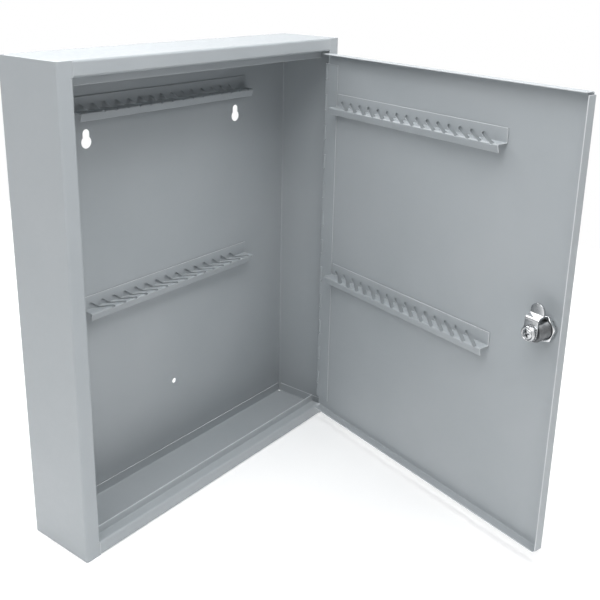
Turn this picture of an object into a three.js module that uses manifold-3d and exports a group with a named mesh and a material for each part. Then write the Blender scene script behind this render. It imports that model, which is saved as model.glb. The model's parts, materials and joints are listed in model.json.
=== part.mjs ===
// Wall key cabinet: a folded-steel box with a hinged door, four slotted key racks and a cam lock.
// Millimetres, +Z up. The back face lies on the wall plane y = 0, the front faces -Y,
// and the origin is the centre of the back face.
import * as THREE from 'three';
import { mergeVertices } from 'three/addons/utils/BufferGeometryUtils.js';
import Module from 'manifold-3d';

const wasm = await Module();
wasm.setup();

// Case
const WIDTH = 355;
const DEPTH = 74;
const HEIGHT = 435;
const SHEET = 1;
const BEND = 1;
const BEND_STEPS = 2;
const SEAM = 0.3;
const STILE = 15;
const RAIL = 13;
const STOP_DEPTH = 10.6;
const STOP_DROP = 7.5;
const PAN_FLANGE = 11;
const PAN_CORNER_RELIEF = 3;

// Holes in the back
const KEYHOLE_X = 97;
const KEYHOLE_Z = 136;
const KEYHOLE_RADIUS = 5.6;
const KEYHOLE_SLOT_RADIUS = 3.8;
const KEYHOLE_RISE = 7.8;
const LOWER_HOLE_Z = -134.5;
const LOWER_HOLE_RADIUS = 2.7;

// Door and hinge
const OPEN_ANGLE = THREE.MathUtils.degToRad(75);
const DOOR_GAP = 1.5;
const DOOR_FLANGE = 10;
const HINGE_EDGE_GAP = 2.7;
const HINGE_X = WIDTH / 2 - STILE - 2.6;
const HINGE_Y = -DEPTH - 0.35;
const KNUCKLES = 24;
const KNUCKLE_PITCH = 16;
const KNUCKLE_GAP = 0.4;
const KNUCKLE_RADIUS = 2.35;
const KNUCKLE_BORE = 1.5;
const PIN_RADIUS = 1.15;
const PIN_OVERHANG = 0.5;
const LEAF = 0.7;
const DOOR_LEAF_REACH = 18.5;
const FRAME_LEAF_REACH = 15.2;
const HINGE_SIDES = 12;

// Key racks
const RACK_LENGTH = 222;
const RACK_DEPTH = 12.7;
const RACK_UPRIGHT = 12.5;
const RACK_LIP = 7.5;
const RACK_BEND = 0.4;
const LIP_LEAN = 2;
const SLOTS = 15;
const SLOT_PITCH = 13.5;
const SLOT_RADIUS = 1.9;
const SLOT_SLOPE = 1.28;
const SLOT_RISE = 3.6;
const SLOT_REACH = 10.6;
const BACK_RACK_Z = [164.5, -19];
const DOOR_RACK_Z = [150.5, -34.5];
const DOOR_RACK_START = 20.5;

// Cam lock, measured from the door's outer face (w) and from the lock's own axis
const LOCK_EDGE = 21.5;
const LOCK_Z = 4;
const HEAD_RADIUS = 12;
const HEAD_THICK = 2.5;
const BARREL_RADIUS = 9.3;
const BARREL_FLATS = 15.6;
const BARREL_END = 19;
const CYLINDER_BORE = 6.7;
const WAFER_GROOVE = 7.3;
const PLUG_RADIUS = 6.3;
const PLUG_RECESS = 0.3;
const TAIL_RADIUS = 4.4;
const TAIL_FLATS = 6.4;
const TAIL_END = 20.9;
const FIT = 0.3;
const KEYWAY_WIDTH = 2.2;
const KEYWAY_HEIGHT = 8.4;
const NUT_FLATS = 22;
const NUT_THICK = 3.4;
const NUT_TURN = 10;
const WASHER_THICK = 0.7;
const WASHER_RADIUS = 11;
const WASHER_TEETH = 16;
const CAM_THICK = 2;
const CAM_WIDTH = 13.4;
const CAM_REACH = 24.5;
const CAM_TIP_LEVEL = 13.6;
const CAM_KNEE = 12.2;
const CAM_TOE = 14.2;
const SCREW_HEAD_RADIUS = 6.8;
const SCREW_HEAD_HEIGHT = 3.4;
const SCREW_RADIUS = 1.9;
const SCREW_BORE = 2.25;
const SCREW_LENGTH = 9;
const CROSS_WIDTH = 1.7;
const CROSS_SPAN = 7;
const CROSS_DEPTH = 2;
const STAR_RADIUS = 7.2;
const STAR_THICK = 0.6;
const WAFERS = 5;
const WAFER_PITCH = 2.5;
const WAFER_START = 1.8;
const WAFER_THICK = 0.8;
const WAFER_WIDTH = 6.4;
const WAFER_RADIUS = 6.1;
const WAFER_TRAVEL = 1;
const LUG_HEIGHT = 1;
const LUG_END = 4.9;
const SPRING_OFFSET = 4.2;
const SPRING_RADIUS = 0.5;
const SPRING_WIRE = 0.14;
const SPRING_LENGTH = 2.6;
const SPRING_TURNS = 3;
const SPRING_SIDES = 6;
const POCKET_RADIUS = 0.95;

const FAR = 60;
const ROUND = 24;
const SLOT_ARC_STEPS = 3;

function metal(color, roughness, metalness) {
  return new THREE.MeshStandardMaterial({ color, roughness, metalness });
}

const paint = () => metal('#a9aeb2', 0.45, 0.0);
const plated = () => metal('#c9cbcc', 0.25, 0.9);
const brushed = () => metal('#9fa3a6', 0.4, 0.8);
const brass = () => metal('#b69a5a', 0.35, 0.85);

// ---- solids ----

function solid(geometry) {
  const bare = geometry.index ? geometry.clone() : mergeVertices(geometry);
  bare.deleteAttribute('normal');
  bare.deleteAttribute('uv');
  const merged = mergeVertices(bare, 1e-4);
  return new wasm.Manifold(new wasm.Mesh({
    numProp: 3,
    vertProperties: new Float32Array(merged.attributes.position.array),
    triVerts: new Uint32Array(merged.index.array),
  }));
}

function geometryOf(manifold) {
  const mesh = manifold.getMesh();
  const geometry = new THREE.BufferGeometry();
  geometry.setAttribute('position', new THREE.BufferAttribute(mesh.vertProperties, 3));
  geometry.setIndex(new THREE.BufferAttribute(mesh.triVerts, 1));
  geometry.computeVertexNormals();
  return geometry;
}

const join = (parts) => parts.reduce((all, part) => all.add(part));
const cut = (body, tools) => tools.reduce((all, tool) => all.subtract(tool), body);

function box(x0, x1, y0, y1, z0, z1) {
  const geometry = new THREE.BoxGeometry(x1 - x0, y1 - y0, z1 - z0);
  geometry.translate((x0 + x1) / 2, (y0 + y1) / 2, (z0 + z1) / 2);
  return solid(geometry);
}

// Extrudes an outline drawn in two axes along the third, from `from` to `to`.
function prism(points, plane, from, to, arcSteps = ROUND / 2) {
  const shape = points instanceof THREE.Shape ? points : new THREE.Shape(points);
  const geometry = new THREE.ExtrudeGeometry(shape, {
    depth: to - from, bevelEnabled: false, curveSegments: arcSteps,
  });
  geometry.translate(0, 0, from);
  const axes = {
    xy: [[1, 0, 0], [0, 1, 0], [0, 0, 1]],
    yz: [[0, 1, 0], [0, 0, 1], [1, 0, 0]],
    zx: [[0, 0, 1], [1, 0, 0], [0, 1, 0]],
  }[plane].map((axis) => new THREE.Vector3(...axis));
  geometry.applyMatrix4(new THREE.Matrix4().makeBasis(...axes));
  return solid(geometry);
}

// Round bar along one axis; its two ends are at `from` and `to`.
function bar(radius, axis, from, to, sides = ROUND) {
  const geometry = new THREE.CylinderGeometry(radius, radius, to - from, sides);
  geometry.translate(0, (from + to) / 2, 0);
  if (axis === 'z') geometry.rotateX(Math.PI / 2);
  return solid(geometry);
}

// Outline of a folded sheet: `path` is its middle line, with a round bend at each corner.
function foldedOutline(path, thickness = SHEET, bend = BEND) {
  const middle = bend + thickness / 2;
  const left = [];
  const right = [];
  const points = path.map(([x, y]) => new THREE.Vector2(x, y));
  const offset = (point, normal, side) => point.clone().addScaledVector(normal, side * thickness / 2);
  const direction = (i) => points[i + 1].clone().sub(points[i]).normalize();
  const normalOf = (d) => new THREE.Vector2(-d.y, d.x);
  points.forEach((point, i) => {
    if (i === 0 || i === points.length - 1) {
      const normal = normalOf(direction(i === 0 ? 0 : i - 1));
      left.push(offset(point, normal, 1));
      right.push(offset(point, normal, -1));
      return;
    }
    const before = direction(i - 1);
    const after = direction(i);
    const turn = Math.sign(before.cross(after));
    const angle = before.angleTo(after);
    const start = point.clone().addScaledVector(before, -middle * Math.tan(angle / 2));
    const centre = start.clone().addScaledVector(normalOf(before), turn * middle);
    for (let k = 0; k <= BEND_STEPS; k += 1) {
      const swing = (turn * angle * k) / BEND_STEPS;
      const spoke = normalOf(before).multiplyScalar(-turn).rotateAround(new THREE.Vector2(), swing);
      left.push(centre.clone().addScaledVector(spoke, middle - turn * thickness / 2));
      right.push(centre.clone().addScaledVector(spoke, middle + turn * thickness / 2));
    }
  });
  return left.concat(right.reverse());
}

// Slot outline with round ends, from one centre to the other.
function obround(x0, y0, x1, y1, radius) {
  const angle = Math.atan2(y1 - y0, x1 - x0);
  const shape = new THREE.Shape();
  shape.absarc(x1, y1, radius, angle - Math.PI / 2, angle + Math.PI / 2, false);
  shape.absarc(x0, y0, radius, angle + Math.PI / 2, angle + Math.PI * 1.5, false);
  return shape;
}

function circle(x, y, radius) {
  const shape = new THREE.Shape();
  shape.absarc(x, y, radius, 0, Math.PI * 2, false);
  return shape;
}

// ---- case ----

function wrapper() {
  const side = WIDTH / 2 - SHEET / 2;
  const front = -DEPTH + SHEET / 2;
  const back = -SHEET / 2;
  const opening = WIDTH / 2 - STILE;
  const outline = foldedOutline([
    [-opening - SHEET / 2, front + DOOR_FLANGE],
    [-opening - SHEET / 2, front],
    [-side, front],
    [-side, back],
    [side, back],
    [side, front],
    [opening, front],
  ]);
  const shell = prism(outline, 'xy', -HEIGHT / 2, HEIGHT / 2);
  const holes = [prism(circle(LOWER_HOLE_Z, 0, LOWER_HOLE_RADIUS), 'zx', -FAR, FAR)];
  for (const x of [-KEYHOLE_X, KEYHOLE_X]) {
    holes.push(prism(circle(KEYHOLE_Z, x, KEYHOLE_RADIUS), 'zx', -DEPTH / 2, FAR));
    const slot = obround(KEYHOLE_Z, x, KEYHOLE_Z + KEYHOLE_RISE, x, KEYHOLE_SLOT_RADIUS);
    holes.push(prism(slot, 'zx', -DEPTH / 2, FAR));
  }
  // the lock-side return stops short of the rails' ledges
  const clearance = RAIL + SEAM;
  for (const end of [-1, 1]) {
    const z0 = end < 0 ? -HEIGHT / 2 - 1 : HEIGHT / 2 - clearance;
    const z1 = end < 0 ? -HEIGHT / 2 + clearance : HEIGHT / 2 + 1;
    holes.push(box(-opening - SHEET - BEND, -opening + 1, -DEPTH + SHEET, -DEPTH / 2, z0, z1));
  }
  return cut(shell, holes);
}

// Top pan, drawn for the top; the bottom pan is its mirror image.
function pan() {
  const top = HEIGHT / 2 - SHEET / 2;
  const front = -DEPTH + SHEET / 2;
  const back = -SHEET - SEAM - SHEET / 2;
  const ledge = HEIGHT / 2 - RAIL + SHEET / 2;
  const stop = -DEPTH + STOP_DEPTH + SHEET / 2;
  const inner = WIDTH / 2 - SHEET - SEAM;
  const railEnd = WIDTH / 2 - STILE - SEAM;
  const rail = prism(foldedOutline([
    [back - PAN_FLANGE, top],
    [front, top],
    [front, ledge],
    [stop, ledge],
    [stop, HEIGHT / 2 - RAIL - STOP_DROP],
  ]), 'yz', -railEnd, railEnd);
  const backFlange = prism(foldedOutline([
    [front + STILE, top],
    [back, top],
    [back, top + SHEET / 2 - PAN_FLANGE],
  ]), 'yz', -inner + PAN_CORNER_RELIEF, inner - PAN_CORNER_RELIEF);
  const sideFlanges = prism(foldedOutline([
    [HEIGHT / 2 - PAN_FLANGE, -inner + SHEET / 2],
    [top, -inner + SHEET / 2],
    [top, inner - SHEET / 2],
    [HEIGHT / 2 - PAN_FLANGE, inner - SHEET / 2],
  ]), 'zx', -DEPTH + SHEET + SEAM + BEND, back - PAN_CORNER_RELIEF);
  return join([rail, backFlange, sideFlanges]);
}

// ---- hinge, drawn about its own axis (x = 0, y = 0) ----

function hingeLeaf(side, first, reach) {
  const plateBack = KNUCKLE_RADIUS;
  const plateFront = KNUCKLE_RADIUS - LEAF;
  const half = KNUCKLES * KNUCKLE_PITCH / 2;
  const end = side * reach;
  const plate = box(Math.min(0, end), Math.max(0, end), plateFront, plateBack, -half, half);
  const own = [];
  const others = [];
  for (let i = 0; i < KNUCKLES; i += 1) {
    const z0 = -half + i * KNUCKLE_PITCH;
    const z1 = z0 + KNUCKLE_PITCH;
    if (i % 2 === first) {
      own.push(bar(KNUCKLE_RADIUS, 'z', z0 + KNUCKLE_GAP / 2, z1 - KNUCKLE_GAP / 2, HINGE_SIDES));
    } else {
      const away = KNUCKLE_RADIUS + FIT;
      others.push(box(-away, away, 0, FAR, z0 - KNUCKLE_GAP / 2, z1 + KNUCKLE_GAP / 2));
    }
  }
  return cut(join([cut(plate, others), ...own]), [bar(KNUCKLE_BORE, 'z', -half - 1, half + 1, HINGE_SIDES)]);
}

function hingePin() {
  const half = KNUCKLES * KNUCKLE_PITCH / 2 + PIN_OVERHANG;
  return bar(PIN_RADIUS, 'z', -half, half, HINGE_SIDES);
}

// ---- key rack, drawn with its back on y = 0, the top of its shelf on z = 0 and its left end on x = 0 ----

function keyRack() {
  const upright = -SHEET / 2;
  const shelf = -SHEET / 2;
  const lip = -RACK_DEPTH + SHEET / 2;
  const strip = prism(foldedOutline([
    [upright, RACK_UPRIGHT],
    [upright, shelf],
    [lip, shelf],
    [lip + LIP_LEAN, -RACK_LIP],
  ], SHEET, RACK_BEND), 'yz', 0, RACK_LENGTH);
  const cutters = [];
  const span = (SLOT_RISE + SLOT_REACH) * SLOT_SLOPE;
  const first = (RACK_LENGTH - SLOT_PITCH * (SLOTS - 1) - span) / 2;
  const turn = SLOT_RISE * SLOT_SLOPE;
  const past = SHEET;
  for (let i = 0; i < SLOTS; i += 1) {
    const x = first + i * SLOT_PITCH;
    const down = obround(SLOT_RISE, x, -past, x + turn + past * SLOT_SLOPE, SLOT_RADIUS);
    cutters.push(prism(down, 'zx', -SHEET - RACK_BEND, 1, SLOT_ARC_STEPS));
    const end = x + turn + SLOT_REACH * SLOT_SLOPE;
    const out = obround(x + turn - past * SLOT_SLOPE, past, end, -SLOT_REACH, SLOT_RADIUS);
    cutters.push(prism(out, 'xy', -SHEET - RACK_BEND, RACK_BEND, SLOT_ARC_STEPS));
  }
  return cut(strip, cutters);
}

// ---- door, drawn closed with the hinge axis at x = 0, y = 0; it runs towards -x ----

const PANEL_OUT = -DEPTH - HINGE_Y;
const PANEL_IN = PANEL_OUT + SHEET;
const DOOR_HALF = HEIGHT / 2 - RAIL - DOOR_GAP;
const DOOR_FREE = -WIDTH / 2 + STILE + DOOR_GAP - HINGE_X;
const LOCK_X = DOOR_FREE + LOCK_EDGE;

// Round bar with two flats at the top and bottom, along y.
function flattenedBar(radius, flats, from, to) {
  const round = bar(radius, 'y', from, to);
  return round.intersect(box(-radius, radius, from - 1, to + 1, -flats / 2, flats / 2));
}

function doorPan() {
  const face = PANEL_OUT + SHEET / 2;
  const rim = PANEL_OUT + DOOR_FLANGE;
  const edge = DOOR_HALF - SHEET / 2;
  const side = DOOR_FREE + SHEET / 2;
  const relief = SHEET + BEND + SEAM;
  const upDown = prism(foldedOutline([
    [rim, -edge],
    [face, -edge],
    [face, edge],
    [rim, edge],
  ]), 'yz', DOOR_FREE + relief, -HINGE_EDGE_GAP);
  const across = prism(foldedOutline([
    [side, rim],
    [side, face],
    [DOOR_FREE + STILE, face],
  ]), 'xy', -DOOR_HALF + relief, DOOR_HALF - relief);
  const lockHole = flattenedBar(BARREL_RADIUS + FIT, BARREL_FLATS + 2 * FIT, -FAR, FAR);
  // the flanges start a little way from the hinge edge
  const cutBack = box(-HINGE_EDGE_GAP - BEND * 3, 0, PANEL_IN, FAR, -HEIGHT, HEIGHT);
  return cut(join([upDown, across]), [lockHole.translate([LOCK_X, 0, LOCK_Z]), cutBack]);
}

// ---- cam lock, drawn about its own axis; y = 0 is the door's outer face and +y points into the case ----

function lockBody() {
  const head = new THREE.LatheGeometry([
    new THREE.Vector2(0, -FIT - HEAD_THICK),
    new THREE.Vector2(HEAD_RADIUS - HEAD_THICK / 2, -FIT - HEAD_THICK),
    new THREE.Vector2(HEAD_RADIUS - HEAD_THICK / 6, -FIT - HEAD_THICK * 0.7),
    new THREE.Vector2(HEAD_RADIUS, -FIT - HEAD_THICK / 3),
    new THREE.Vector2(HEAD_RADIUS, -FIT),
    new THREE.Vector2(0, -FIT),
  ], ROUND);
  const barrel = flattenedBar(BARREL_RADIUS, BARREL_FLATS, -FIT - HEAD_THICK / 2, BARREL_END);
  const bore = bar(CYLINDER_BORE, 'y', -FAR, FAR);
  // the wafers spring out into these grooves when the key is drawn, locked or unlocked
  const end = WAFER_START + WAFERS * WAFER_PITCH;
  const half = WAFER_WIDTH / 2 + FIT;
  const upright = box(-half, half, 0, end, -WAFER_GROOVE, WAFER_GROOVE);
  const level = box(-WAFER_GROOVE, WAFER_GROOVE, 0, end, -half, half);
  return cut(join([solid(head), barrel]), [bore, upright, level]);
}

function lockNut() {
  const from = SHEET + WASHER_THICK + 2 * FIT;
  const hexagon = bar(NUT_FLATS / Math.sqrt(3), 'y', from, from + NUT_THICK, 6);
  const nut = hexagon.rotate([0, 30 + NUT_TURN, 0]);
  const chamfer = new THREE.CylinderGeometry(NUT_FLATS / 2, NUT_FLATS / 2 + NUT_THICK * 2, NUT_THICK, ROUND);
  chamfer.translate(0, from + NUT_THICK / 2, 0);
  return cut(nut.intersect(solid(chamfer)), [bar(BARREL_RADIUS + FIT, 'y', -FAR, FAR)]);
}

// A ring with teeth cut round its rim.
function toothedWasher(radius, bore, from, thick, teeth) {
  const points = [];
  for (let i = 0; i < teeth * 4; i += 1) {
    const reach = i % 4 < 2 ? radius : radius * 0.9;
    const angle = (i * Math.PI) / (teeth * 2);
    points.push(new THREE.Vector2(Math.cos(angle) * reach, Math.sin(angle) * reach));
  }
  return cut(prism(points, 'zx', from, from + thick), [bar(bore, 'y', -FAR, FAR)]);
}

function lockWasher() {
  return toothedWasher(WASHER_RADIUS, BARREL_RADIUS + FIT, SHEET + FIT, WASHER_THICK, WASHER_TEETH);
}

const waferY = (i) => WAFER_START + (i + 0.5) * WAFER_PITCH;

function lockPlug() {
  const front = -FIT - HEAD_THICK + PLUG_RECESS;
  const body = bar(PLUG_RADIUS, 'y', front, BARREL_END);
  const tail = flattenedBar(TAIL_RADIUS, TAIL_FLATS, BARREL_END - 1, TAIL_END);
  const tools = [
    bar(SCREW_BORE, 'y', BARREL_END - SCREW_LENGTH / 2, FAR, HINGE_SIDES),
    box(-KEYWAY_WIDTH / 2, KEYWAY_WIDTH / 2, -FAR, waferY(WAFERS), -KEYWAY_HEIGHT / 2, KEYWAY_HEIGHT / 2),
  ];
  for (let i = 0; i < WAFERS; i += 1) {
    const half = WAFER_THICK / 2 + FIT / 2;
    const wide = WAFER_WIDTH / 2 + FIT / 2;
    tools.push(box(-wide, wide, waferY(i) - half, waferY(i) + half, -FAR, FAR));
    const top = FIT + LUG_HEIGHT + WAFER_TRAVEL + FIT;
    const pocket = bar(POCKET_RADIUS, 'z', -SPRING_LENGTH - FIT, top, HINGE_SIDES);
    tools.push(pocket.translate([SPRING_OFFSET, waferY(i), 0]));
  }
  return cut(join([body, tail]), tools);
}

// A wafer at the height that the key holds it: its ends are just inside the plug.
function wafer(i) {
  const from = waferY(i) - WAFER_THICK / 2;
  const to = waferY(i) + WAFER_THICK / 2;
  const wide = WAFER_WIDTH / 2;
  const key = KEYWAY_WIDTH / 2 + FIT;
  const blank = bar(WAFER_RADIUS, 'y', from, to).intersect(box(-wide, wide, from, to, -FAR, FAR));
  const lug = box(wide - LUG_HEIGHT, LUG_END, from, to, FIT, FIT + LUG_HEIGHT);
  return cut(join([blank, lug]), [box(-key, key, -FAR, FAR, -KEYWAY_HEIGHT / 3, KEYWAY_HEIGHT / 3)]);
}

// Helical spring along z, of square wire, under the wafer's lug.
function waferSpring(i) {
  const steps = SPRING_TURNS * SPRING_SIDES;
  const rise = SPRING_LENGTH - 2 * SPRING_WIRE;
  const points = [];
  for (let k = 0; k <= steps; k += 1) {
    const angle = (k * Math.PI * 2) / SPRING_SIDES;
    const across = Math.cos(angle) * SPRING_RADIUS;
    const along = Math.sin(angle) * SPRING_RADIUS;
    points.push(new THREE.Vector3(across, along, (k / steps - 0.5) * rise));
  }
  const wire = new THREE.Shape([
    new THREE.Vector2(-SPRING_WIRE, -SPRING_WIRE),
    new THREE.Vector2(SPRING_WIRE, -SPRING_WIRE),
    new THREE.Vector2(SPRING_WIRE, SPRING_WIRE),
    new THREE.Vector2(-SPRING_WIRE, SPRING_WIRE),
  ]);
  const path = new THREE.CatmullRomCurve3(points);
  const coil = new THREE.ExtrudeGeometry(wire, { steps, extrudePath: path, bevelEnabled: false });
  return solid(coil).translate([SPRING_OFFSET, waferY(i), -SPRING_LENGTH / 2]);
}

function lockCam() {
  const under = BARREL_END + FIT;
  const level = under + CAM_THICK / 2;
  const end = CAM_WIDTH / 2;
  const profile = prism(foldedOutline([
    [level, -end],
    [level, CAM_KNEE],
    [CAM_TIP_LEVEL, CAM_TOE],
    [CAM_TIP_LEVEL, CAM_REACH],
  ], CAM_THICK), 'yz', -end, end);
  const outline = prism(obround(0, 0, CAM_REACH - end, 0, end), 'zx', -FAR, FAR);
  const hole = flattenedBar(TAIL_RADIUS + FIT, TAIL_FLATS + 2 * FIT, -FAR, FAR);
  return cut(profile.intersect(outline), [hole]);
}

const STAR_LEVEL = BARREL_END + FIT + CAM_THICK + FIT;

function camWasher() {
  return toothedWasher(STAR_RADIUS, SCREW_RADIUS + FIT, STAR_LEVEL, STAR_THICK, WASHER_TEETH);
}

function camScrew() {
  const seat = STAR_LEVEL + STAR_THICK + FIT;
  const top = seat + SCREW_HEAD_HEIGHT;
  const head = new THREE.LatheGeometry([
    new THREE.Vector2(0, seat),
    new THREE.Vector2(SCREW_HEAD_RADIUS, seat),
    new THREE.Vector2(SCREW_HEAD_RADIUS, seat + SCREW_HEAD_HEIGHT * 0.45),
    new THREE.Vector2(SCREW_HEAD_RADIUS * 0.92, seat + SCREW_HEAD_HEIGHT * 0.78),
    new THREE.Vector2(SCREW_HEAD_RADIUS * 0.7, seat + SCREW_HEAD_HEIGHT * 0.95),
    new THREE.Vector2(0, top),
  ], ROUND);
  const shank = bar(SCREW_RADIUS, 'y', BARREL_END - SCREW_LENGTH / 2 + 1, seat + 1, HINGE_SIDES);
  const floor = top - CROSS_DEPTH;
  const half = CROSS_WIDTH / 2;
  const cross = [
    box(-half, half, floor, top + 1, -CROSS_SPAN / 2, CROSS_SPAN / 2),
    box(-CROSS_SPAN / 2, CROSS_SPAN / 2, floor, top + 1, -half, half),
  ];
  return cut(join([solid(head), shank]), cross);
}

// ---- assembly ----

function piece(name, manifold, material) {
  const mesh = new THREE.Mesh(geometryOf(manifold), material);
  mesh.name = name;
  return mesh;
}

const cabinet = new THREE.Group();
cabinet.add(piece('wrapper', wrapper(), paint()));
cabinet.add(piece('top_pan', pan(), paint()));
cabinet.add(piece('bottom_pan', pan().mirror([0, 0, 1]), paint()));
['upper', 'lower'].forEach((level, i) => {
  const rack = piece(`key_rack_back_${level}`, keyRack(), paint());
  rack.position.set(-RACK_LENGTH / 2, -SHEET - SEAM, BACK_RACK_Z[i]);
  cabinet.add(rack);
});

const hinge = new THREE.Group();
hinge.position.set(HINGE_X, HINGE_Y, 0);
hinge.add(piece('hinge_leaf_frame', hingeLeaf(1, 1, FRAME_LEAF_REACH), paint()));
hinge.add(piece('hinge_pin', hingePin(), brushed()));
cabinet.add(hinge);

const door = new THREE.Group();
door.rotation.z = OPEN_ANGLE;
hinge.add(door);
door.add(piece('door_pan', doorPan(), paint()));
door.add(piece('hinge_leaf_door', hingeLeaf(-1, 0, DOOR_LEAF_REACH), paint()));
['upper', 'lower'].forEach((level, i) => {
  const rack = piece(`key_rack_door_${level}`, keyRack(), paint());
  rack.rotation.z = Math.PI;
  rack.position.set(-DOOR_RACK_START, PANEL_IN + SEAM, DOOR_RACK_Z[i]);
  door.add(rack);
});

const lock = new THREE.Group();
lock.position.set(LOCK_X, PANEL_OUT, LOCK_Z);
door.add(lock);
lock.add(piece('lock_body', lockBody(), plated()));
lock.add(piece('lock_washer', lockWasher(), plated()));
lock.add(piece('lock_nut', lockNut(), plated()));
lock.add(piece('lock_plug', lockPlug(), plated()));
lock.add(piece('lock_cam', lockCam(), plated()));
lock.add(piece('cam_washer', camWasher(), plated()));
lock.add(piece('cam_screw', camScrew(), plated()));
for (let i = 0; i < WAFERS; i += 1) {
  lock.add(piece(`wafer_${i + 1}`, wafer(i), brass()));
  lock.add(piece(`wafer_spring_${i + 1}`, waferSpring(i), brushed()));
}

export default cabinet;
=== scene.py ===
"""Key cabinet: folded sheet metal, hinge and cam lock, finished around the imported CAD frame.

Lengths are millimetres, and MM turns them into metres, which the lights and the floor are given in.
Places come from the frame.
"""

import json
import math

import bmesh
import bpy
from mathutils import Matrix, Vector
from mathutils.geometry import tessellate_polygon


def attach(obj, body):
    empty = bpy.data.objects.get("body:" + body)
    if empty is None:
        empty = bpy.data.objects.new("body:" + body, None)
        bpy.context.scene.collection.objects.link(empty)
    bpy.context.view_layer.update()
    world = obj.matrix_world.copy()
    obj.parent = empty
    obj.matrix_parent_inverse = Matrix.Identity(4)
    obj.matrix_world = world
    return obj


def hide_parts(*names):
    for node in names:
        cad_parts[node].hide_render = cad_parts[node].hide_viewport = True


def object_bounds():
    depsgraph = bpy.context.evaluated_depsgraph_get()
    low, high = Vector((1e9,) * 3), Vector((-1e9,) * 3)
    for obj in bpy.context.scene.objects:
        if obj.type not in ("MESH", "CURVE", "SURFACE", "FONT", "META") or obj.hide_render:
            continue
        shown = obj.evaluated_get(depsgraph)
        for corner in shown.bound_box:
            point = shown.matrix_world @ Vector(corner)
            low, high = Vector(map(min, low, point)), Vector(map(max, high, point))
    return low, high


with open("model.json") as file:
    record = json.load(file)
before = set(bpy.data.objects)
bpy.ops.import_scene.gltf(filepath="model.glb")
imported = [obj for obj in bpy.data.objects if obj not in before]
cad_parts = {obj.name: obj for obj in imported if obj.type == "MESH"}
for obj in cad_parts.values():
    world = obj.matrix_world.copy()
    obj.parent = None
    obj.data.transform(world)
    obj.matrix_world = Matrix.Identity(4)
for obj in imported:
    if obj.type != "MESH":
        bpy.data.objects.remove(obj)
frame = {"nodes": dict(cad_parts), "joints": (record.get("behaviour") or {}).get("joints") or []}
cad_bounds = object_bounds()

MM = 0.001
TOLERANCE = 1e-4
ROUND = 96
SHARP = math.radians(50)
WELD_GAP = 0.01
BEVEL_ANGLE = math.radians(40)

# Sheet metal
SHEET = 1
BEND = 1
BEND_STEPS = 8
RIM = 0.25
RIM_STEPS = 3
CORNER_STEPS = 3
# Mask of the sheets' outer rims, which carries the painted highlight along cut edges
EDGE_HIGHLIGHT_MASK = "edge_highlight_mask"
SEAM = 0.3
RAIL_SEAM = 0.08
STILE = 15
RAIL = 13
STOP_DEPTH = 10.6
STOP_DROP = 7.5
PAN_FLANGE = 11
DOOR_FLANGE = 10
CORNER_RELIEF = 3
DOOR_RELIEF = 2.3
TAB_SLIT = 0.3
HINGE_EDGE_RELIEF = 3

# Holes in the back
KEYHOLE_X = 97
KEYHOLE_Z = 136
KEYHOLE_RADIUS = 5.6
KEYHOLE_SLOT_RADIUS = 3.8
KEYHOLE_RISE = 7.8
LOWER_HOLE_Z = -134.5
LOWER_HOLE_RADIUS = 2.7

# Key racks
RACK_DEPTH = 12.7
RACK_UPRIGHT = 12.5
RACK_LIP = 7.5
RACK_BEND = 0.4
RACK_RIM = 0.35
RACK_CORNER = 0.6
LIP_LEAN = 2
SLOTS = 15
SLOT_PITCH = 13.5
SLOT_RADIUS = 1.9
SLOT_SLOPE = 1.28
SLOT_RISE = 3.6
SLOT_REACH = 10.6

# Hinge
KNUCKLES = 24
KNUCKLE_GAP = 0.4
KNUCKLE_RADIUS = 2.35
KNUCKLE_CURL = math.radians(292)
LEAF = 0.7
LEAF_CLEARANCE = 2.65

# Lock, along its own axis from the door's outer face
HEAD_RADIUS = 12
HEAD_FRONT = -2.8
HEAD_BACK = -0.3
HEAD_EDGE = 0.15
HEAD_NECK = 0.2
BORE_RADIUS = 6.7
# The head's front: how far out from the bore, or in from the head's rim, and how far back
HEAD_MOUTH = ((0, 0.5), (0.15, 0.35), (0.6, 0.3), (0.9, 0.05), (1.1, 0))
HEAD_DOME = ((2.2, 0.05), (1.4, 0.2), (0.7, 0.55), (0.2, 1.1), (0, 1.7))
BARREL_RADIUS = 9.3
BARREL_FLATS = 15.6
BARREL_END = 19
BARREL_EDGE = 0.1
WAFER_GROOVE_REACH = 7.3
WAFER_GROOVE_HALF = 3.5
WAFER_GROOVE_END = 14.3
THREAD_PITCH = 1
THREAD_DEPTH = 0.5
THREAD_START = 0.6
THREAD_END = BARREL_END - 0.4
THREAD_STEPS = 8
THREAD_END_DEPTH = 0.4
NUT_FLATS = 22
NUT_FROM = 2.3
NUT_THICK = 3.4
NUT_CHAMFER_LEVELS = (0, 0.12, 0.3, 0.5, 0.7, 0.9)
NUT_CHAMFER_ANGLE = math.radians(30)
NUT_FACE_INSET = 0.25
NUT_BORE_CHAMFER = 0.4
NUT_TURN = math.radians(10)
NUT_SEGMENTS = 144
FIT = 0.3
TAIL_RADIUS = 4.4
TAIL_FLATS = 6.4
CAM_THICK = 2
CAM_WIDTH = 13.4
CAM_REACH = 24.5
CAM_LEVEL = 20.3
CAM_TIP_LEVEL = 13.6
CAM_KNEE = 12.2
CAM_TOE = 14.2
CAM_RIM = 0.3
WAFERS = 5
SCREW_SEAT = 22.5
SCREW_HEAD_RADIUS = 6.8
SCREW_HEAD_HEIGHT = 3.4
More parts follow.
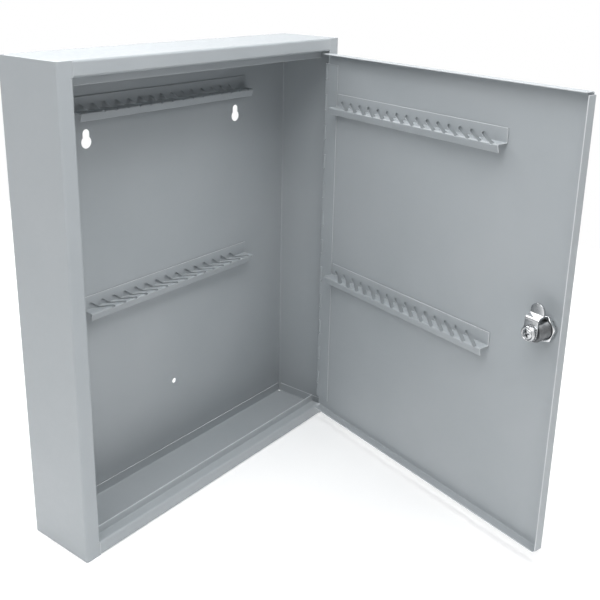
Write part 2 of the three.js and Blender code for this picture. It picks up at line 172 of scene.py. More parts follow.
# Share of the head's radius, and height above the seat
SCREW_HEAD_PROFILE = (
    (0.98, 0), (1, 0.15), (1, 1.3), (0.985, 1.8), (0.95, 2.3), (0.9, 2.65), (0.84, 2.85), (0.78, 2.85),
    (0.75, 2.7), (0.73, 2.35), (0.69, 2.3), (0.66, 2.55), (0.63, 2.9), (0.5, 3.15), (0.3, 3.32), (0.08, 3.4),
)
SCREW_SHANK_RADIUS = 1.9
SCREW_POINT = 0.6
SCREW_POINT_SHARE = 0.6
CROSS_SPAN = 7.4
CROSS_WIDTH = 1.9
CROSS_DEPTH = 2.4
CROSS_TAPER = 0.45
CROSS_TIP = 0.8
CROSS_TURN = math.radians(20)
CROSS_OVERSHOOT = 1

# ---- places, from the frame ----

joints = {joint["name"]: joint for joint in frame["joints"]}
OPEN = math.radians(-joints["door_hinge"]["range_deg"][0])
SWING = Matrix.Rotation(OPEN, 4, "Z")
CASE = Matrix.Identity(4)
HINGE = Matrix.Translation(joints["door_hinge"]["pos_m"])
DOOR = HINGE @ SWING
LOCK = Matrix.Translation(joints["lock_turn"]["pos_m"]) @ SWING
HALF_TURN = Matrix.Rotation(math.pi, 4, "Z")


def local_box(node, place=CASE):
    """Lowest and highest corner of a CAD node, in millimetres in a local frame."""
    to_local = place.inverted()
    points = [(to_local @ vertex.co) / MM for vertex in frame["nodes"][node].data.vertices]
    low = Vector([min(p[i] for p in points) for i in range(3)])
    high = Vector([max(p[i] for p in points) for i in range(3)])
    return low, high


def placed(place, a, v, h, origin=(0, 0, 0)):
    """Matrix that puts millimetre coordinates (a, v, h) along three axes of a local frame."""
    columns = Matrix((a, v, h)).transposed().to_4x4()
    return place @ Matrix.Scale(MM, 4) @ Matrix.Translation(origin) @ columns


X, Y, Z = (1, 0, 0), (0, 1, 0), (0, 0, 1)
MINUS_Y, MINUS_Z = (0, -1, 0), (0, 0, -1)

# ---- meshes ----


def piece(name, mesh, material, body, nodes):
    """A finished piece that rides on a body and stands for CAD nodes."""
    obj = bpy.data.objects.new(name, mesh)
    bpy.context.scene.collection.objects.link(obj)
    mesh.materials.append(material)
    even_shading(obj)
    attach(obj, body)
    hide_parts(*nodes)


def even_shading(obj):
    """Smooth faces, sharp across steep edges, whose normals follow the largest face at each corner."""
    obj.data.shade_smooth()
    obj.data.set_sharp_from_angle(angle=SHARP)
    weighted = obj.modifiers.new("weighted_normals", "WEIGHTED_NORMAL")
    weighted.weight = 100
    weighted.keep_sharp = True


class Fold:
    """A folded sheet's middle line: straight runs joined by round bends.

    corners are the line's ends and sharp corners. at(s, w) is the point at length s along the flat
    sheet and w above its middle, on the left of the line. curl adds a long bend at its end.
    """

    def __init__(self, corners, radius=BEND + SHEET / 2, curl=0):
        points = [Vector(corner) for corner in corners]
        headings = [(b - a).normalized() for a, b in zip(points, points[1:])]
        turns = [-a.angle_signed(b) for a, b in zip(headings, headings[1:])]
        trims = [0] + [radius * math.tan(abs(turn) / 2) for turn in turns] + [0]
        turns.append(curl)
        self.radius = radius
        self.runs = []
        self.cuts = []
        self.length = 0
        for i, heading in enumerate(headings):
            start = points[i] + heading * trims[i]
            length = (points[i + 1] - points[i]).length - trims[i] - trims[i + 1]
            self._add(length, start, heading, 0)
            if turns[i]:
                self._add(radius * abs(turns[i]), start + heading * length, heading, turns[i])

    def _add(self, length, point, heading, turn):
        if turn:
            steps = max(2, round(BEND_STEPS * abs(turn) / (math.pi / 2)))
            self.cuts += [self.length + length * k / steps for k in range(steps + 1)]
        self.runs.append((self.length, length, point, heading, turn))
        self.length += length

    def at(self, s, w):
        reached = [run for run in self.runs if run[0] <= s + TOLERANCE or run[0] == 0]
        start, length, point, heading, turn = reached[-1]
        normal = Vector((-heading.y, heading.x))
        if not turn:
            return point + heading * (s - start) + normal * w
        side = math.copysign(self.radius, turn)
        swing = Matrix.Rotation(turn * (s - start) / length, 2)
        return point + normal * side - swing @ normal * (side - w)

    def along(self, run, point):
        """Length along the flat sheet of a point on one of the straight runs."""
        start, _, origin, heading, _ = [straight for straight in self.runs if not straight[4]][run]
        return start + (Vector(point) - origin).dot(heading)

    def bend_end(self, bend, after=True):
        """Length at which a bend ends, or starts."""
        start, length = [curve for curve in self.runs if curve[4]][bend][:2]
        return start + length if after else start


def arc(u, v, radius, start, end, steps=12):
    """Points of a round stretch, its angles in degrees."""
    angles = [math.radians(start + (end - start) * k / steps) for k in range(steps + 1)]
    return [(u + radius * math.cos(a), v + radius * math.sin(a)) for a in angles]


def circle(u, v, radius):
    """Outline of a round hole."""
    return arc(u, v, radius, 0, 360, steps=24)[:-1]


def obround(u0, v0, u1, v1, radius):
    """Outline of a slot with round ends."""
    angle = math.degrees(math.atan2(v1 - v0, u1 - u0))
    return arc(u1, v1, radius, angle - 90, angle + 90) + arc(u0, v0, radius, angle + 90, angle + 270)


def double_d(u, v, radius, half_flat):
    """Outline of a round hole with two flats that face u."""
    angle = math.degrees(math.asin(half_flat / radius))
    right = arc(u, v, radius, 90 - angle, 90 + angle)
    return right + arc(u, v, radius, 270 - angle, 270 + angle)


def keyhole(u, v):
    """Outline of a keyhole whose slot points along +v."""
    meet = math.degrees(math.asin(KEYHOLE_SLOT_RADIUS / KEYHOLE_RADIUS))
    hole = arc(u, v, KEYHOLE_RADIUS, 90 + meet, 450 - meet, steps=36)
    return hole + arc(u, v + KEYHOLE_RISE, KEYHOLE_SLOT_RADIUS, 0, 180)


def rounded(points, radius):
    """Outline with a small round at each corner."""
    result = []
    count = len(points)
    for i, corner in enumerate(points):
        here = Vector(corner)
        before = (Vector(points[i - 1]) - here).normalized()
        after = (Vector(points[(i + 1) % count]) - here).normalized()
        for k in range(CORNER_STEPS + 1):
            share = k / CORNER_STEPS
            start = here + before * radius * (1 - share)
            end = here + after * radius * share
            result.append(tuple(start.lerp(end, share)))
    return result


def inset(points, distance):
    """The outline moved to its left by a distance."""
    result = []
    count = len(points)
    for i, corner in enumerate(points):
        here = Vector(corner)
        before = (here - Vector(points[i - 1])).normalized()
        after = (Vector(points[(i + 1) % count]) - here).normalized()
        left = Vector((-before.y - after.y, before.x + after.x))
        result.append(here + left * (distance / (1 + before.dot(after))))
    return result


def area(points):
    """Area inside an outline, negative where it runs clockwise."""
    return sum(a[0] * b[1] - b[0] * a[1] for a, b in zip(points, points[1:] + points[:1])) / 2


def sheet_mesh(name, outline, holes, shape, cuts_u, cuts_v=(), thickness=SHEET, rim=RIM):
    """Closed mesh of a flat sheet with rounded rims, sliced along its bends, then shaped.

    The outline and holes are drawn in the flat sheet's (u, v). shape turns (u, v, w) into a place in
    metres, with w measured from the sheet's middle.
    """
    loops = [outline if area(outline) > 0 else outline[::-1]]
    loops += [hole if area(hole) < 0 else hole[::-1] for hole in holes]
    half = thickness / 2
    quarter = [math.pi / 2 * k / RIM_STEPS for k in range(RIM_STEPS + 1)]
    lower = [(rim * (1 - math.sin(a)), -half + rim * (1 - math.cos(a))) for a in quarter]
    levels = lower + [(distance, -w) for distance, w in reversed(lower)]
    bm = bmesh.new()
    edge = bm.verts.layers.float.new(EDGE_HIGHLIGHT_MASK)
    rings = []
    for distance, w in levels:
        flat = [inset(loop, distance) for loop in loops]
        rings.append([[bm.verts.new((p.x, p.y, w)) for p in loop] for loop in flat])
    # The outer outline's rims, not the holes' rims, carry the painted edge highlight
    for vertex in [vertex for ring in rings[1:-1] for vertex in ring[0]]:
        vertex[edge] = 1
    for level in (0, -1):
        distance = levels[level][0]
        corners = [vertex for loop in rings[level] for vertex in loop]
        lines = [[Vector((*p, 0)) for p in inset(loop, distance)] for loop in loops]
        for triangle in tessellate_polygon(lines):
            bm.faces.new([corners[i] for i in triangle])
    for below, above in zip(rings, rings[1:]):
        for low, high in zip(below, above):
            for i in range(len(low)):
                bm.faces.new((low[i - 1], low[i], high[i], high[i - 1]))
    for axis, cuts in ((X, cuts_u), (Y, cuts_v)):
        for cut in cuts:
            everything = bm.verts[:] + bm.edges[:] + bm.faces[:]
            place = Vector(axis) * cut
            bmesh.ops.bisect_plane(bm, geom=everything, dist=TOLERANCE, plane_co=place, plane_no=axis)
    for vertex in bm.verts:
        vertex.co = shape(*vertex.co)
    return closed_mesh(name, bm)


def closed_mesh(name, bm):
    """Mesh of a closed surface with every face pointing out."""
    bmesh.ops.recalc_face_normals(bm, faces=bm.faces[:])
    mesh = bpy.data.meshes.new(name)
    bm.to_mesh(mesh)
    bm.free()
    return mesh


def folded(fold_u, place, fold_v=None):
    """Shape of a sheet that is folded along u, and along v too where fold_v is given.

    A sheet folded both ways is a cross in the flat, so a point is past a bend one way only.
    """

    def shape(u, v, w):
        a, h = fold_u.at(u, w)
        if fold_v:
            v, rise = fold_v.at(v, w)
            h += rise - w
        return place @ Vector((a, v, h))

    return shape


def turned_mesh(name, rings, place, segments=ROUND, closed=False):
    """Mesh turned about the y axis. Each ring is (radius, y), or a function of the angle that gives it."""
    bm = bmesh.new()
    rows = []
    for ring in rings:
        row = []
        for k in range(segments):
            angle = math.tau * k / segments
            radius, y = ring(angle) if callable(ring) else ring
            row.append(bm.verts.new((radius * math.sin(angle), y, radius * math.cos(angle))))
        rows.append(row)
    pairs = list(zip(rows, rows[1:]))
    if closed:
        pairs.append((rows[-1], rows[0]))
    else:
        bm.faces.new(rows[0])
        bm.faces.new(rows[-1])
    for below, above in pairs:
        for k in range(segments):
            bm.faces.new((below[k - 1], below[k], above[k], above[k - 1]))
    bm.transform(place @ Matrix.Scale(MM, 4))
    return closed_mesh(name, bm)


# ---- materials ----


def node_material(name):
    """A new material with its nodes and links."""
    material = bpy.data.materials.new(name)
    material.use_nodes = True
    return material, material.node_tree.nodes, material.node_tree.links


def noise(nodes, links, scale, detail=3):
    """Noise in the object's own coordinates, in cycles per metre."""
    place = nodes.new("ShaderNodeTexCoord")
    texture = nodes.new("ShaderNodeTexNoise")
    texture.inputs["Scale"].default_value = scale
    texture.inputs["Detail"].default_value = detail
    links.new(place.outputs["Object"], texture.inputs["Vector"])
    return texture.outputs["Fac"]


def span(nodes, links, value, low, high, source=(0.3, 0.7)):
    """A 0 to 1 pattern spread over another range."""
    ranged = nodes.new("ShaderNodeMapRange")
    ranged.inputs["From Min"].default_value = source[0]
    ranged.inputs["From Max"].default_value = source[1]
    ranged.inputs["To Min"].default_value = low
    ranged.inputs["To Max"].default_value = high
    links.new(value, ranged.inputs["Value"])
    return ranged.outputs["Result"]


def colour_between(nodes, links, factor, first, second):
    """Mix of two colours. The first may come out of another node."""
    mix = nodes.new("ShaderNodeMix")
    mix.data_type = "RGBA"
    if isinstance(first, tuple):
        mix.inputs["A"].default_value = (*first, 1)
    else:
        links.new(first, mix.inputs["A"])
    mix.inputs["B"].default_value = (*second, 1)
    links.new(factor, mix.inputs["Factor"])
    return mix.outputs["Result"]


def bump(nodes, links, height, distance_mm, before=None, strength=1.0):
    """Bumps of a height in millimetres, on top of those before."""
    node = nodes.new("ShaderNodeBump")
    node.inputs["Distance"].default_value = distance_mm * MM
    node.inputs["Strength"].default_value = strength
    links.new(height, node.inputs["Height"])
    if before:
        links.new(before, node.inputs["Normal"])
    return node.outputs["Normal"]


# Painted highlight along cut edges, partly a thinner coat: its colour and its largest share
EDGE_HIGHLIGHT_COLOUR = (0.72, 0.74, 0.76)
EDGE_HIGHLIGHT_SHARE = 0.6


def powder_coat(name, dark, light):
    """Satin powder coat: a fine orange peel, slow drifts of shade, and lighter cut edges, partly a thinner
    coat and partly a painted highlight where the edges catch light.
    """
    material, nodes, links = node_material(name)
    shader = nodes["Principled BSDF"]
    drift = noise(nodes, links, 9)
    mottle = noise(nodes, links, 240)
    shade = colour_between(nodes, links, span(nodes, links, drift, 0, 1), dark, light)
    # Lighter colour along the rims: painted highlight, partly a thinner coat
    edge = nodes.new("ShaderNodeAttribute")
    edge.attribute_name = EDGE_HIGHLIGHT_MASK
    edge_highlight = span(nodes, links, edge.outputs["Fac"], 0, EDGE_HIGHLIGHT_SHARE, (0, 1))
    links.new(colour_between(nodes, links, edge_highlight, shade, EDGE_HIGHLIGHT_COLOUR), shader.inputs["Base Color"])
    links.new(span(nodes, links, mottle, 0.40, 0.50), shader.inputs["Roughness"])
    peel = bump(nodes, links, noise(nodes, links, 900, 2), 0.02, strength=0.5)
    links.new(bump(nodes, links, noise(nodes, links, 7, 1), 0.35, peel, 0.35), shader.inputs["Normal"])
    return material


def plated_metal(name, dark, light, rough, peel=0.004):
    """Plated or drawn metal with a light cloudiness and fine scratches."""
    material, nodes, links = node_material(name)
    shader = nodes["Principled BSDF"]
    shader.inputs["Metallic"].default_value = 1
    cloud = noise(nodes, links, 160)
    colour = colour_between(nodes, links, span(nodes, links, cloud, 0, 1), dark, light)
    scratches = noise(nodes, links, 700)
    links.new(colour, shader.inputs["Base Color"])
    links.new(span(nodes, links, scratches, rough * 0.8, rough * 1.3), shader.inputs["Roughness"])
    links.new(bump(nodes, links, noise(nodes, links, 1400, 2), peel), shader.inputs["Normal"])
    return material


paint = powder_coat("powder_coat_grey", (0.355, 0.385, 0.405), (0.385, 0.412, 0.432))
hinge_paint = powder_coat("hinge_powder_coat", (0.34, 0.37, 0.39), (0.38, 0.41, 0.43))
chrome = plated_metal("lock_nickel_chrome", (0.62, 0.63, 0.64), (0.72, 0.73, 0.74), 0.12)
# Near-black plate for the barrel's thread: a painted dark reflection of the surroundings in bright plating
barrel_dark_reflection = plated_metal("lock_barrel_painted_dark_reflection", (0.10, 0.105, 0.11), (0.17, 0.175, 0.18), 0.34)
zinc = plated_metal("bright_zinc_plate", (0.46, 0.47, 0.48), (0.56, 0.57, 0.58), 0.11, 0.003)
wire = plated_metal("spring_wire", (0.40, 0.41, 0.42), (0.50, 0.51, 0.52), 0.3)
brass = plated_metal("stamped_brass", (0.60, 0.45, 0.20), (0.70, 0.55, 0.28), 0.28)

# ---- case ----


def wrapper():
    """Back, sides and stiles, folded from one sheet, with a return on the lock side."""
    low, high = local_box("wrapper")
    side = high.x - SHEET / 2
    front = -low.y - SHEET / 2
    back = SHEET / 2
    opening = high.x - STILE
    turn_in = -opening - SHEET / 2
    fold = Fold([
        (turn_in, front - DOOR_FLANGE),
        (turn_in, front),
        (-side, front),
        (-side, back),
        (side, back),
        (side, front),
        (opening, front),
    ])
    short = high.z - RAIL - SEAM
    edge = fold.along(1, (-opening, front))
    flat = fold.bend_end(0)
    tab = short + TAB_SLIT
    right = [(edge, high.z), (edge, tab), (flat, tab), (flat, short), (0, short)]
    left = [(u, -v) for u, v in reversed(right)]
    outline = [(fold.length, low.z), (fold.length, high.z)] + right + left
    holes = [keyhole(fold.along(3, (x, back)), KEYHOLE_Z) for x in (-KEYHOLE_X, KEYHOLE_X)]
    holes.append(circle(fold.along(3, (0, back)), LOWER_HOLE_Z, LOWER_HOLE_RADIUS))
    place = placed(CASE, X, Z, MINUS_Y)
    bent = folded(fold, place)

    def shape(u, v, w):
        if abs(v) > short + TAB_SLIT / 2 and u < flat:
            a = -opening - (u - edge)
            return place @ Vector((a, v, front - w))
        return bent(u, v, w)

    mesh = sheet_mesh("wrapper_sheet", outline, holes, shape, fold.cuts)
    piece("wrapper_sheet", mesh, paint, "case", ["wrapper"])


def pan(node, up):
    """Top or bottom pan: the plate, its rail and stop at the front and its flanges."""
    low, high = local_box(node)
    plate = max(abs(low.z), abs(high.z)) - SHEET / 2
    inner = high.x - SHEET / 2
    front = low.y + SHEET / 2
    back = high.y - SHEET / 2
    drop = SHEET / 2 - PAN_FLANGE
    ledge = SHEET - RAIL
    stop = low.y + STOP_DEPTH + SHEET / 2
    fold_x = Fold([(-inner, drop), (-inner, 0), (inner, 0), (inner, drop)])
    fold_y = Fold([
        (stop, SHEET / 2 - RAIL - STOP_DROP),
        (stop, ledge),
        (front, ledge),
        (front, 0),
        (back, 0),
        (back, drop),
    ])
    rail_end = high.x + SHEET + SEAM - STILE - RAIL_SEAM
    flange_end = high.x - CORNER_RELIEF
    u_rail = [fold_x.along(1, (x, 0)) for x in (-rail_end, rail_end)]
    u_flange = [fold_x.along(1, (x, 0)) for x in (-flange_end, flange_end)]
    v_front = fold_y.along(3, (low.y + SHEET + SEAM + BEND, 0))
    v_back = fold_y.along(3, (back - CORNER_RELIEF, 0))
    right = [
        (u_rail[1], 0),
        (u_rail[1], v_front),
        (fold_x.length, v_front),
        (fold_x.length, v_back),
        (u_flange[1], v_back),
        (u_flange[1], fold_y.length),
    ]
    left = [(fold_x.length - u, v) for u, v in reversed(right)]
    place = placed(CASE, X, Y, Z if up else MINUS_Z, (0, 0, plate if up else -plate))
    shape = folded(fold_x, place, fold_y)
    mesh = sheet_mesh(f"{node}_sheet", right + left, [], shape, fold_x.cuts, fold_y.cuts)
    piece(f"{node}_sheet", mesh, paint, "case", [node])


def key_rack(node, body, place):
    """Key rack: an upright, a shelf and a lip, with slanted slots cut across the first bend."""
    low, high = local_box(node, place)
    middle = SHEET / 2
    depth = RACK_DEPTH - middle
    fold = Fold([
        (middle, RACK_UPRIGHT),
        (middle, -middle),
        (depth, -middle),
        (depth - LIP_LEAN, -RACK_LIP),
    ], RACK_BEND + middle)
    across = (SLOT_RISE + SLOT_REACH) * SLOT_SLOPE
    first = (high.x - low.x - SLOT_PITCH * (SLOTS - 1) - across) / 2
    top = fold.along(0, (middle, SLOT_RISE))
    end = fold.along(1, (SLOT_REACH, -middle))
    starts = [first + SLOT_PITCH * i for i in range(SLOTS)]
    slots = [obround(top, x, end, x + across, SLOT_RADIUS) for x in starts]
    length = high.x - low.x
    corners = [(0, 0), (fold.length, 0), (fold.length, length), (0, length)]
    origin = (low.x, high.y, high.z - RACK_UPRIGHT)
    shape = folded(fold, placed(place, MINUS_Y, X, Z, origin))
    outline = rounded(corners, RACK_CORNER)
    mesh = sheet_mesh(f"{node}_strip", outline, slots, shape, fold.cuts, rim=RACK_RIM)
    piece(f"{node}_strip", mesh, paint, body, [node])


# ---- hinge ----


def hinge_leaf(node, body, place, side, first):
    """Leaf of the continuous hinge. Every other knuckle is curled from it round the pin.

    side is 1 where the leaf lies along +x and -1 along -x. first is the place of its lowest knuckle.
    """
    low, high = local_box(node, place)
    reach = high.x if side > 0 else -low.x
    middle = KNUCKLE_RADIUS - LEAF / 2
    fold = Fold([(side * reach, middle), (0, middle)], middle, side * KNUCKLE_CURL)
    pitch = (high.z - low.z) / KNUCKLES
    cut_back = reach - LEAF_CLEARANCE
    edge = []
    for i in range(KNUCKLES):
        own = i % 2 == first
        u = fold.length if own else cut_back
        trim = KNUCKLE_GAP / 2 if own else -KNUCKLE_GAP / 2
        z0 = low.z + pitch * i
        starts = low.z if i == 0 and not own else z0 + trim
        ends = high.z if i == KNUCKLES - 1 and not own else z0 + pitch - trim
        edge += [(u, starts), (u, ends)]
    outline = [(0, high.z), (0, low.z)]
    if first == 0:
        outline.append((cut_back, low.z))
    outline += edge
    if first == 1:
        outline.append((cut_back, high.z))
    shape = folded(fold, placed(place, X, Z, Y))
    mesh = sheet_mesh(f"{node}_rolled", outline, [], shape, fold.cuts, thickness=LEAF, rim=RIM / 2)
    piece(f"{node}_rolled", mesh, hinge_paint, body, [node])


# ---- door ----


def door_pan():
    """Door panel with flanges on its top, bottom and lock edges."""
    low, high = local_box("door_pan", DOOR)
    side = low.x + SHEET / 2
    edge = high.z - SHEET / 2
    drop = SHEET / 2 - DOOR_FLANGE
    fold_x = Fold([(side, drop), (side, 0), (high.x, 0)])
    fold_z = Fold([(-edge, drop), (-edge, 0), (edge, 0), (edge, drop)])
    v_side = fold_z.along(1, (high.z - DOOR_RELIEF, 0))
    u_flange = fold_x.along(1, (low.x + DOOR_RELIEF, 0))
    u_hinge = fold_x.along(1, (high.x - HINGE_EDGE_RELIEF, 0))
    v_panel = fold_z.bend_end(1, after=False)
    upper = [
        (fold_x.length, v_panel),
        (u_hinge, v_panel),
        (u_hinge, fold_z.length),
        (u_flange, fold_z.length),
        (u_flange, v_side),
        (0, v_side),
    ]
    lower = [(u, fold_z.length - v) for u, v in reversed(upper)]
    axis = DOOR.inverted() @ LOCK.translation / MM
    hole = double_d(fold_z.along(1, (axis.z, 0)), 0, BARREL_RADIUS + FIT, BARREL_FLATS / 2 + FIT)
    lock_hole = [(v + fold_x.along(1, (axis.x, 0)), u) for u, v in hole]
    place = placed(DOOR, X, Z, MINUS_Y, (0, low.y + SHEET / 2, 0))
    shape = folded(fold_x, place, fold_z)
    mesh = sheet_mesh("door_sheet", upper + lower, [lock_hole], shape, fold_x.cuts, fold_z.cuts)
    piece("door_sheet", mesh, paint, "door", ["door_pan"])


# ---- lock ----


def threaded(y, radius=BARREL_RADIUS):
    """Ring of the threaded barrel with its two flats. The thread is shallower at its ends."""

    def ring(angle):
        phase = (y / THREAD_PITCH - angle / math.tau) % 1
        ridge = abs(phase * 2 - 1)
        fade_in = max(0, (y - THREAD_START) / THREAD_PITCH)
        fade_out = (BARREL_END - y) / THREAD_PITCH + THREAD_END_DEPTH
        reach = radius - THREAD_DEPTH * ridge * min(1, fade_in, fade_out)
        height = abs(math.cos(angle)) * reach
        return (reach * min(1, BARREL_FLATS / 2 / max(height, TOLERANCE)), y)

    return ring


def plus_plug(name, rings, place, tip=1):
    """Plus-shaped plug along the y axis. Each ring is (y, length of a wing, half its width)."""
    bm = bmesh.new()
    turns = [Matrix.Rotation(-quarter * math.pi / 2, 2) for quarter in range(4)]
    rows = []
    for y, length, half in rings:
        wing = [(half, half), (length, half * tip), (length, -half * tip)]
        outline = [turn @ Vector(corner) for turn in turns for corner in wing]
        rows.append([bm.verts.new((corner.x, y, corner.y)) for corner in outline])
    below, above = rows
    bm.faces.new(below)
    bm.faces.new(above)
    for k in range(len(below)):
        bm.faces.new((below[k - 1], below[k], above[k], above[k - 1]))
    bm.transform(place @ Matrix.Scale(MM, 4))
    return closed_mesh(name, bm)


def cut_out(mesh, cutter_mesh, name):
    """A new mesh: the first with the second cut out of it."""
    body = bpy.data.objects.new("cut_body", mesh)
    cutter = bpy.data.objects.new("cut_tool", cutter_mesh)
    for obj in (body, cutter):
        bpy.context.scene.collection.objects.link(obj)
    boolean = body.modifiers.new("cut", "BOOLEAN")
    boolean.operation = "DIFFERENCE"
    boolean.solver = "EXACT"
    boolean.object = cutter
    evaluated = body.evaluated_get(bpy.context.evaluated_depsgraph_get())
    result = bpy.data.meshes.new_from_object(evaluated)
    result.name = name
    for obj in (body, cutter):
        bpy.data.objects.remove(obj)
    return result


def lock_body():
    """Lock body: a domed head, a threaded barrel with flats and grooves that the wafers spring into."""
    head = [(BORE_RADIUS, BARREL_END)]
    head += [(BORE_RADIUS + out, HEAD_FRONT + back) for out, back in HEAD_MOUTH]
    head += [(HEAD_RADIUS - inwards, HEAD_FRONT + back) for inwards, back in HEAD_DOME]
    head += [
        (HEAD_RADIUS, HEAD_BACK - HEAD_EDGE),
        (HEAD_RADIUS - HEAD_EDGE, HEAD_BACK),
        (BARREL_RADIUS + HEAD_NECK, HEAD_BACK),
    ]
    steps = round((THREAD_END - THREAD_START) / THREAD_PITCH * THREAD_STEPS)
    rows = [THREAD_START + (THREAD_END - THREAD_START) * k / steps for k in range(steps + 1)]
    barrel = [threaded(y) for y in [HEAD_BACK] + rows]
    mouth = [
        threaded(BARREL_END - BARREL_EDGE, BARREL_RADIUS - THREAD_DEPTH),
        (BARREL_FLATS / 2 - BARREL_EDGE, BARREL_END),
        (BORE_RADIUS + 2 * BARREL_EDGE, BARREL_END),
    ]
    blank = turned_mesh("barrel_blank", head + barrel + mouth, LOCK, closed=True)
    grooves = [(y, WAFER_GROOVE_REACH, WAFER_GROOVE_HALF) for y in (0, WAFER_GROOVE_END)]
    mesh = cut_out(blank, plus_plug("groove_cutter", grooves, LOCK), "lock_barrel")
    piece("lock_barrel", mesh, chrome, "door", ["lock_body"])
    # The barrel's faces past the thread's start take the near-black plate, a painted dark reflection
    mesh.materials.append(barrel_dark_reflection)
    to_lock = LOCK.inverted()
    for polygon in mesh.polygons:
        polygon.material_index = int((to_lock @ polygon.center).y / MM > THREAD_START)


def lock_nut():
    """Hexagonal nut with both faces chamfered round its corners."""

    def ring(y):
        def at(angle):
            corner = (angle - NUT_TURN + math.pi / 6) % (math.pi / 3) - math.pi / 6
            hexagon = NUT_FLATS / 2 / math.cos(corner)
            depth = max(0, min(y - NUT_FROM, NUT_FROM + NUT_THICK - y))
            chamfer = NUT_FLATS / 2 - NUT_FACE_INSET + depth / math.tan(NUT_CHAMFER_ANGLE)
            return (min(hexagon, chamfer), y)

        return at

    bore = BARREL_RADIUS + FIT / 3
    top = NUT_FROM + NUT_THICK
    levels = [*NUT_CHAMFER_LEVELS, NUT_THICK / 2]
    levels += [NUT_THICK - level for level in reversed(NUT_CHAMFER_LEVELS)]
    rings = [
        (bore, top - NUT_BORE_CHAMFER),
        (bore, NUT_FROM + NUT_BORE_CHAMFER),
        (bore + NUT_BORE_CHAMFER, NUT_FROM),
    ]
    rings += [ring(NUT_FROM + level) for level in levels]
    rings.append((bore + NUT_BORE_CHAMFER, top))
    mesh = turned_mesh("hex_nut", rings, LOCK, closed=True, segments=NUT_SEGMENTS)
    piece("hex_nut", mesh, chrome, "door", ["lock_nut"])


def lock_cam():
    """Joggled cam with a hole for the plug's flats."""
    end = CAM_WIDTH / 2
    fold = Fold([
        (-end, CAM_LEVEL),
        (CAM_KNEE, CAM_LEVEL),
        (CAM_TOE, CAM_TIP_LEVEL),
        (CAM_REACH, CAM_TIP_LEVEL),
    ], BEND + CAM_THICK / 2)
    outline = obround(end, 0, fold.length - end, 0, end)
    hole = double_d(end, 0, TAIL_RADIUS + FIT, TAIL_FLATS / 2 + FIT)
    shape = folded(fold, placed(LOCK, Z, X, Y))
    mesh = sheet_mesh("joggled_cam", outline, [hole], shape, fold.cuts, thickness=CAM_THICK, rim=CAM_RIM)
    piece("joggled_cam", mesh, zinc, "plug", ["lock_cam"])


def cross_cutter():
    """Plug that tapers inwards, for the recess in the screw's head."""
    top = SCREW_SEAT + SCREW_HEAD_HEIGHT
    rings = []
    for y, share in ((top - CROSS_DEPTH, CROSS_TAPER), (top + CROSS_OVERSHOOT, 1)):
        rings.append((y, CROSS_SPAN / 2 * share, CROSS_WIDTH / 2 * (1 + share) / 2))
    return plus_plug("cross_cutter", rings, LOCK @ Matrix.Rotation(CROSS_TURN, 4, "Y"), CROSS_TIP)


def cam_screw():
    """Pan-head screw with a cross recess, holding the cam on the plug."""
    low, _ = local_box("cam_screw", LOCK)
    rings = [
        (SCREW_SHANK_RADIUS * SCREW_POINT_SHARE, low.y),
        (SCREW_SHANK_RADIUS, low.y + SCREW_POINT),
        (SCREW_SHANK_RADIUS, SCREW_SEAT),
    ]
    rings += [(SCREW_HEAD_RADIUS * share, SCREW_SEAT + height) for share, height in SCREW_HEAD_PROFILE]
    mesh = cut_out(turned_mesh("screw_blank", rings, LOCK), cross_cutter(), "cross_screw")
    piece("cross_screw", mesh, zinc, "plug", ["cam_screw"])


def finish_cad_node(node, material, bevel_mm=0):
    """A CAD solid that shows as it is, with its own finish and softened edges."""
    obj = frame["nodes"][node]
    obj.data.materials.clear()
    obj.data.materials.append(material)
    obj.modifiers.new("weld", "WELD").merge_threshold = WELD_GAP * MM
    if bevel_mm:
        bevel = obj.modifiers.new("edges", "BEVEL")
        bevel.width = bevel_mm * MM
        bevel.segments = 2
        bevel.limit_method = "ANGLE"
        bevel.angle_limit = BEVEL_ANGLE
    obj.data.shade_smooth()
    obj.modifiers.new("weighted_normals", "WEIGHTED_NORMAL").weight = 100


# ---- assembly ----

wrapper()
pan("top_pan", up=True)
pan("bottom_pan", up=False)
door_pan()
for level in ("upper", "lower"):
    key_rack(f"key_rack_back_{level}", "case", CASE)
    key_rack(f"key_rack_door_{level}", "door", DOOR @ HALF_TURN)
hinge_leaf("hinge_leaf_frame", "case", HINGE, side=1, first=1)
hinge_leaf("hinge_leaf_door", "door", DOOR, side=-1, first=0)
lock_body()
lock_nut()
lock_cam()
cam_screw()
finish_cad_node("hinge_pin", zinc, 0.2)
finish_cad_node("lock_plug", chrome, 0.1)
finish_cad_node("lock_washer", zinc, 0.06)
finish_cad_node("cam_washer", zinc, 0.06)
for number in range(1, WAFERS + 1):
    finish_cad_node(f"wafer_{number}", brass, 0.04)
    finish_cad_node(f"wafer_spring_{number}", wire)

# ---- floor, light and camera ----

FLOOR_SIZE_M = 2
FLOOR_DROP = 0.4
FLOOR_GLOW = 0.16
FLOOR_SHADES = ((0.93, 0.93, 0.93), (0.96, 0.96, 0.96))


def floor():
    """Plain pale floor under the case, faintly lit from within so that shadows on it stay light."""
    bm = bmesh.new()
    half = FLOOR_SIZE_M / 2
    z = cad_bounds[0].z - FLOOR_DROP * MM
    corners = [(-half, -half), (half, -half), (half, half), (-half, half)]
    bm.faces.new([bm.verts.new((x, y, z)) for x, y in corners])
    mesh = bpy.data.meshes.new("floor")
    bm.to_mesh(mesh)
    bm.free()
    obj = bpy.data.objects.new("floor", mesh)
    bpy.context.scene.collection.objects.link(obj)
    material, nodes, links = node_material("pale_floor")
    shader = nodes["Principled BSDF"]
    shader.inputs["Roughness"].default_value = 0.8
    shader.inputs["Emission Color"].default_value = (1, 1, 1, 1)
    shader.inputs["Emission Strength"].default_value = FLOOR_GLOW
    pale = span(nodes, links, noise(nodes, links, 2), 0, 1)
    colour = colour_between(nodes, links, pale, *FLOOR_SHADES)
    links.new(colour, shader.inputs["Base Color"])
    mesh.materials.append(material)


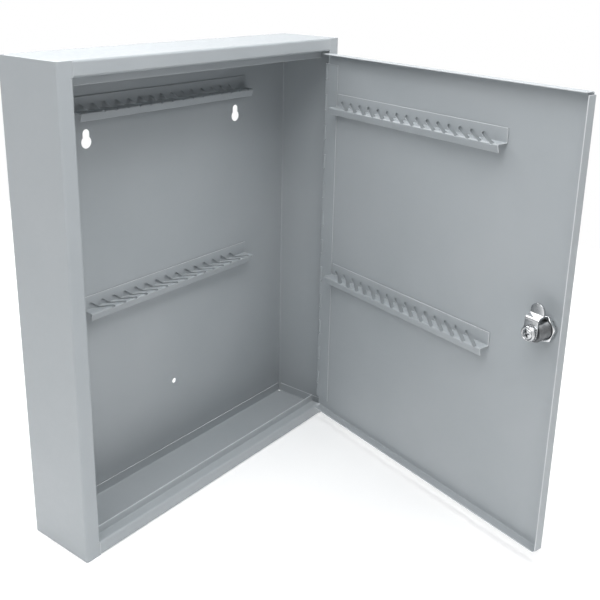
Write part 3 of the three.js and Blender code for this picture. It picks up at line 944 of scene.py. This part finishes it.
# Places and sizes in metres, and power in watts
LIGHT_TARGET = (0, -0.1, 0.05)
LIGHTS = (
    ("front_softbox", (-0.1, -1.2, 1.6), (1.4, 1.0), 5),
    ("rear_softbox", (0.1, 0.9, 1.4), (1.6, 1.0), 22.5),
    ("left_softbox", (-1.3, -0.3, 1.4), (1.2, 1.2), 16.5),
    ("right_softbox", (0.7, -1.3, 1.3), (1.0, 1.0), 9),
    ("overhead_softbox", (-0.1, -0.45, 0.95), (0.7, 0.5), 5.5),
)
FILL = 0.2


def area_light(name, place, size, watts):
    """A soft box that faces the cabinet."""
    data = bpy.data.lights.new(name, "AREA")
    data.shape = "RECTANGLE"
    data.size, data.size_y = size
    data.energy = watts
    obj = bpy.data.objects.new(name, data)
    bpy.context.scene.collection.objects.link(obj)
    obj.location = place
    obj.rotation_euler = (Vector(LIGHT_TARGET) - Vector(place)).to_track_quat("-Z", "Y").to_euler()


def lights():
    """Soft boxes and a weak fill, and white walls that show behind the case and in its metal."""
    world = bpy.data.worlds.new("studio")
    bpy.context.scene.world = world
    world.use_nodes = True
    nodes, links = world.node_tree.nodes, world.node_tree.links
    background = nodes["Background"]
    background.inputs["Color"].default_value = (1, 1, 1, 1)
    background.inputs["Strength"].default_value = FILL
    backdrop = nodes.new("ShaderNodeBackground")
    backdrop.inputs["Color"].default_value = (1, 1, 1, 1)
    rays = nodes.new("ShaderNodeLightPath")
    white = nodes.new("ShaderNodeMath")
    white.operation = "MAXIMUM"
    links.new(rays.outputs["Is Camera Ray"], white.inputs[0])
    links.new(rays.outputs["Is Glossy Ray"], white.inputs[1])
    seen = nodes.new("ShaderNodeMixShader")
    links.new(white.outputs["Value"], seen.inputs["Fac"])
    links.new(background.outputs["Background"], seen.inputs[1])
    links.new(backdrop.outputs["Background"], seen.inputs[2])
    links.new(seen.outputs["Shader"], nodes["World Output"].inputs["Surface"])
    for light in LIGHTS:
        area_light(*light)


SENSOR_WIDTH = 36
CAMERA_PLACE = (-557.93, -594.79, 287.12)
CAMERA_AZIMUTH = math.radians(52.56)
CAMERA_DIP = math.radians(16.93)
CAMERA_ROLL = math.radians(1.257)
CAMERA_LENS = 50.5
CAMERA_SHIFT = (-0.0043, -0.1275)
CAMERA_CLIP_M = (0.01, 20)


def camera():
    """Camera that looks slightly down into the open case, held a little tilted."""
    data = bpy.data.cameras.new("camera")
    data.sensor_width = SENSOR_WIDTH
    data.lens = CAMERA_LENS
    data.shift_x, data.shift_y = CAMERA_SHIFT
    data.clip_start, data.clip_end = CAMERA_CLIP_M
    obj = bpy.data.objects.new("camera", data)
    bpy.context.scene.collection.objects.link(obj)
    level = Vector((math.sin(CAMERA_AZIMUTH), math.cos(CAMERA_AZIMUTH), 0))
    ahead = level * math.cos(CAMERA_DIP) - Vector(Z) * math.sin(CAMERA_DIP)
    right = ahead.cross(Vector(Z)).normalized()
    up = right.cross(ahead)
    tilted_right = right * math.cos(CAMERA_ROLL) + up * math.sin(CAMERA_ROLL)
    tilted_up = up * math.cos(CAMERA_ROLL) - right * math.sin(CAMERA_ROLL)
    turn = Matrix((tilted_right, tilted_up, -ahead)).transposed().to_4x4()
    obj.matrix_world = Matrix.Translation(Vector(CAMERA_PLACE) * MM) @ turn
    bpy.context.scene.camera = obj


floor()
lights()
camera()
bpy.context.scene.view_settings.view_transform = "Standard"
